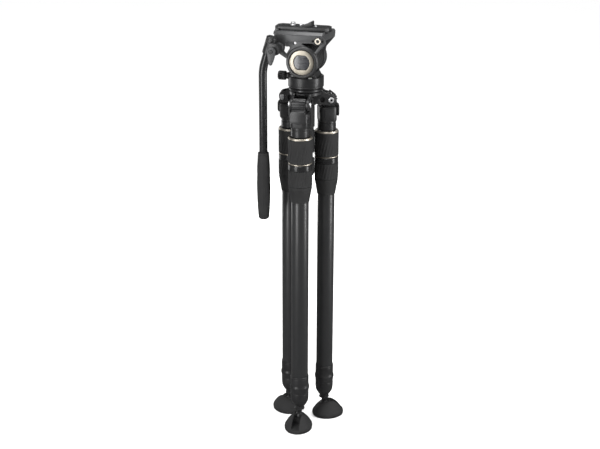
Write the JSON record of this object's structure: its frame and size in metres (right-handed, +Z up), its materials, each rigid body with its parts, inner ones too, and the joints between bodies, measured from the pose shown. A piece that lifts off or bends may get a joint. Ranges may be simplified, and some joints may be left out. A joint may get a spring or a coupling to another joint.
{
  "type": "video tripod with fluid head",
  "caption": "Folded three-leg video tripod with a fluid pan-and-tilt head, sliding camera plate, pan bar, twist-lock legs and swivelling rubber feet.",
  "frame": {"origin": "centre of the bounding box, on the floor plane under the feet", "axes": "+Z up along the folded legs; +X the way the lens looks; +Y along the tilt axis, away from the pan bar"},
  "size_m": [0.168, 0.1458, 0.8802],
  "materials": {
    "black_metal": "satin black anodised and painted aluminium",
    "grey_metal": "satin dark grey anodised aluminium",
    "carbon_fibre": "satin carbon-fibre laminate with a fine weave",
    "black_rubber": "matt moulded rubber",
    "champagne_metal": "polished champagne anodised aluminium",
    "steel": "bright machined steel",
    "gloss_badge": "glossy plain badge",
    "vial": "clear vial with green-yellow fluid"
  },
  "bodies": {
    "hub": {"hub": "black_metal", "levelling_base": "black_metal", "front_pivot_bolt": "steel", "right_pivot_bolt": "steel", "left_pivot_bolt": "steel"},
    "tie_down": {"tie_down_handle": "black_rubber"},
    "front_leg": {"front_shoulder": "black_metal", "front_top_tube": "carbon_fibre"},
    "front_tab": {"front_angle_tab": "black_metal"},
    "front_middle_stage": {"front_middle_tube": "carbon_fibre"},
    "front_upper_lock": {"front_upper_lock_ring": "black_rubber"},
    "front_lower_stage": {"front_lower_tube": "carbon_fibre", "front_lower_collar": "black_metal", "front_end_socket": "black_metal"},
    "front_lower_lock": {"front_lower_lock_ring": "black_rubber"},
    "front_stud": {"front_ball_stud": "black_metal"},
    "front_foot": {"front_foot": "black_rubber"},
    "right_leg": {"right_shoulder": "black_metal", "right_top_tube": "carbon_fibre"},
    "right_tab": {"right_angle_tab": "black_metal"},
    "right_middle_stage": {"right_middle_tube": "carbon_fibre"},
    "right_upper_lock": {"right_upper_lock_ring": "black_rubber"},
    "right_lower_stage": {"right_lower_tube": "carbon_fibre", "right_lower_collar": "black_metal", "right_end_socket": "black_metal"},
    "right_lower_lock": {"right_lower_lock_ring": "black_rubber"},
    "right_stud": {"right_ball_stud": "black_metal"},
    "right_foot": {"right_foot": "black_rubber"},
    "left_leg": {"left_shoulder": "black_metal", "left_top_tube": "carbon_fibre"},
    "left_tab": {"left_angle_tab": "black_metal"},
    "left_middle_stage": {"left_middle_tube": "carbon_fibre"},
    "left_upper_lock": {"left_upper_lock_ring": "black_rubber"},
    "left_lower_stage": {"left_lower_tube": "carbon_fibre", "left_lower_collar": "black_metal", "left_end_socket": "black_metal"},
    "left_lower_lock": {"left_lower_lock_ring": "black_rubber"},
    "left_stud": {"left_ball_stud": "black_metal"},
    "left_foot": {"left_foot": "black_rubber"},
    "pan_body": {"pan_housing": "black_metal", "tilt_drum": "grey_metal", "bubble_level": "vial"},
    "pan_knob": {"pan_lock_knob": "black_metal"},
    "tilt_knob": {"tilt_lock_knob": "black_metal"},
    "tilt_head": {"front_side_plate": "grey_metal", "rear_side_plate": "grey_metal", "front_cap": "black_metal", "rear_cap": "black_metal", "front_gold_ring": "champagne_metal", "front_badge": "gloss_badge", "clamp_body": "grey_metal", "accessory_socket": "champagne_metal"},
    "slide_plate": {"camera_plate": "black_metal", "camera_stop": "black_metal"},
    "plate_screw": {"camera_screw": "steel"},
    "plate_knob": {"plate_lock_knob": "black_metal"},
    "bar": {"pan_bar": "black_metal", "bar_grip": "black_rubber", "bar_bracket": "black_metal"},
    "bar_clamp_lever": {"bar_lever": "black_metal"}
  },
  "joints": [
    {"name": "tie_down_turn", "type": "hinge", "parent": "hub", "child": "tie_down", "pos_m": [0.004, 0.01548, 0.64], "axis": [0, 0, 1], "continuous": true},
    {"name": "front_leg_fold", "type": "hinge", "parent": "hub", "child": "front_leg", "pos_m": [0.004, -0.03152, 0.7214], "axis": [-1, 0, 0], "range_deg": [0, 70]},
    {"name": "front_tab_pull", "type": "slide", "parent": "front_leg", "child": "front_tab", "axis": [0, -1, 0], "range_m": [0, 0.0045], "stiffness_N_per_m": 300},
    {"name": "front_middle_extend", "type": "slide", "parent": "front_leg", "child": "front_middle_stage", "axis": [0, 0, -1], "range_m": [0, 0.4]},
    {"name": "front_upper_lock_turn", "type": "hinge", "parent": "front_middle_stage", "child": "front_upper_lock", "pos_m": [0.004, -0.02892, 0.63], "axis": [0, 0, 1], "range_deg": [0, 90]},
    {"name": "front_lower_extend", "type": "slide", "parent": "front_middle_stage", "child": "front_lower_stage", "axis": [0, 0, -1], "range_m": [0, 0.37]},
    {"name": "front_lower_lock_turn", "type": "hinge", "parent": "front_lower_stage", "child": "front_lower_lock", "pos_m": [0.004, -0.02892, 0.575], "axis": [0, 0, 1], "range_deg": [0, 90]},
    {"name": "front_foot_swivel", "type": "hinge", "parent": "front_lower_stage", "child": "front_stud", "pos_m": [0.004, -0.02892, 0.07], "axis": [0, 0, 1], "continuous": true},
    {"name": "front_foot_tilt", "type": "hinge", "parent": "front_stud", "child": "front_foot", "pos_m": [0.004, -0.02892, 0.024], "axis": [-1, 0, 0], "range_deg": [-12, 33]},
    {"name": "right_leg_fold", "type": "hinge", "parent": "hub", "child": "right_leg", "pos_m": [0.04471, 0.03898, 0.7214], "axis": [0.5, -0.866, 0], "range_deg": [0, 70]},
    {"name": "right_tab_pull", "type": "slide", "parent": "right_leg", "child": "right_tab", "axis": [0.866, 0.5, 0], "range_m": [0, 0.0045], "stiffness_N_per_m": 300},
    {"name": "right_middle_extend", "type": "slide", "parent": "right_leg", "child": "right_middle_stage", "axis": [0, 0, -1], "range_m": [0, 0.4]},
    {"name": "right_upper_lock_turn", "type": "hinge", "parent": "right_middle_stage", "child": "right_upper_lock", "pos_m": [0.04246, 0.03768, 0.63], "axis": [0, 0, 1], "range_deg": [0, 90]},
    {"name": "right_lower_extend", "type": "slide", "parent": "right_middle_stage", "child": "right_lower_stage", "axis": [0, 0, -1], "range_m": [0, 0.37]},
    {"name": "right_lower_lock_turn", "type": "hinge", "parent": "right_lower_stage", "child": "right_lower_lock", "pos_m": [0.04246, 0.03768, 0.575], "axis": [0, 0, 1], "range_deg": [0, 90]},
    {"name": "right_foot_swivel", "type": "hinge", "parent": "right_lower_stage", "child": "right_stud", "pos_m": [0.04246, 0.03768, 0.07], "axis": [0, 0, 1], "continuous": true},
    {"name": "right_foot_tilt", "type": "hinge", "parent": "right_stud", "child": "right_foot", "pos_m": [0.04246, 0.03768, 0.024], "axis": [0.5, -0.866, 0], "range_deg": [-12, 33]},
    {"name": "left_leg_fold", "type": "hinge", "parent": "hub", "child": "left_leg", "pos_m": [-0.0367, 0.03898, 0.7214], "axis": [0.5, 0.866, 0], "range_deg": [0, 70]},
    {"name": "left_tab_pull", "type": "slide", "parent": "left_leg", "child": "left_tab", "axis": [-0.866, 0.5, 0], "range_m": [0, 0.0045], "stiffness_N_per_m": 300},
    {"name": "left_middle_extend", "type": "slide", "parent": "left_leg", "child": "left_middle_stage", "axis": [0, 0, -1], "range_m": [0, 0.4]},
    {"name": "left_upper_lock_turn", "type": "hinge", "parent": "left_middle_stage", "child": "left_upper_lock", "pos_m": [-0.03445, 0.03768, 0.63], "axis": [0, 0, 1], "range_deg": [0, 90]},
    {"name": "left_lower_extend", "type": "slide", "parent": "left_middle_stage", "child": "left_lower_stage", "axis": [0, 0, -1], "range_m": [0, 0.37]},
    {"name": "left_lower_lock_turn", "type": "hinge", "parent": "left_lower_stage", "child": "left_lower_lock", "pos_m": [-0.03445, 0.03768, 0.575], "axis": [0, 0, 1], "range_deg": [0, 90]},
    {"name": "left_foot_swivel", "type": "hinge", "parent": "left_lower_stage", "child": "left_stud", "pos_m": [-0.03445, 0.03768, 0.07], "axis": [0, 0, 1], "continuous": true},
    {"name": "left_foot_tilt", "type": "hinge", "parent": "left_stud", "child": "left_foot", "pos_m": [-0.03445, 0.03768, 0.024], "axis": [0.5, 0.866, 0], "range_deg": [-12, 33]},
    {"name": "pan", "type": "hinge", "parent": "hub", "child": "pan_body", "pos_m": [0.004, 0.01548, 0.76], "axis": [0, 0, 1], "continuous": true},
    {"name": "pan_knob_turn", "type": "hinge", "parent": "pan_body", "child": "pan_knob", "pos_m": [-0.04099, 0.01548, 0.768], "axis": [-1, 0, 0], "range_deg": [-90, 90]},
    {"name": "tilt_knob_turn", "type": "hinge", "parent": "pan_body", "child": "tilt_knob", "pos_m": [-0.01712, 0.05521, 0.759], "axis": [-0.4695, 0.8829, 0], "range_deg": [-90, 90]},
    {"name": "tilt", "type": "hinge", "parent": "pan_body", "child": "tilt_head", "pos_m": [0.004, 0.01548, 0.8036], "axis": [0, 1, 0], "range_deg": [-6, 75]},
    {"name": "plate_slide", "type": "slide", "parent": "tilt_head", "child": "slide_plate", "axis": [1, 0, 0], "range_m": [-0.02, 0.03]},
    {"name": "plate_screw_turn", "type": "hinge", "parent": "slide_plate", "child": "plate_screw", "pos_m": [-0.023, 0.01548, 0.866], "axis": [0, 0, 1], "continuous": true},
    {"name": "plate_knob_turn", "type": "hinge", "parent": "tilt_head", "child": "plate_knob", "pos_m": [-0.018, 0.05548, 0.8505], "axis": [0, 1, 0], "range_deg": [-90, 90]},
    {"name": "bar_angle", "type": "hinge", "parent": "tilt_head", "child": "bar", "pos_m": [-0.04349, -0.02652, 0.831], "axis": [0, 1, 0], "range_deg": [0, 150]},
    {"name": "bar_lever_turn", "type": "hinge", "parent": "bar", "child": "bar_clamp_lever", "pos_m": [-0.04739, -0.05752, 0.8304], "axis": [0, 1, 0], "range_deg": [-40, 40]}
  ]
}
